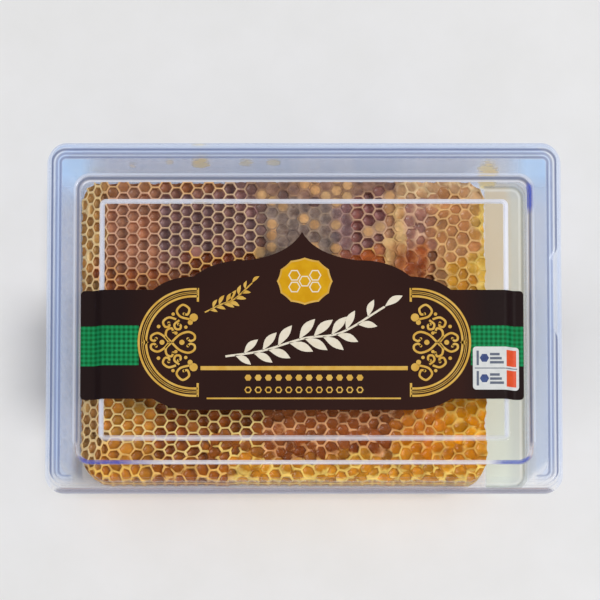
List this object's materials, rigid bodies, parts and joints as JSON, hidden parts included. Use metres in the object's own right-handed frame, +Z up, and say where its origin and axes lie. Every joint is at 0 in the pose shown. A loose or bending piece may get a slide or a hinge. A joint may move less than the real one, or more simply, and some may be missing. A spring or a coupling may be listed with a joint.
{
  "type": "honeycomb piece in clear box",
  "caption": "Cut piece of honeycomb with open, honey-filled and capped cells, shut in a clear tapered box with a recessed lid, a dark gold-printed label and a small seal.",
  "frame": {"origin": "middle of the box's underside, under the middle of the lid's outline", "axes": "+X to the right along the box as the label is seen, +Y across it to the far side, +Z up through the lid"},
  "size_m": [0.224, 0.155, 0.05],
  "materials": {
    "clear_plastic": "clear, smooth, faint blue",
    "comb": "wax cells wet with honey",
    "label_print": "dark satin film with gold and green print",
    "seal_paper": "white satin paper"
  },
  "bodies": {
    "root": {"box_base": "clear_plastic", "box_lid": "clear_plastic", "honeycomb": "comb", "label": "label_print", "seal_sticker": "seal_paper"}
  },
  "joints": []
}
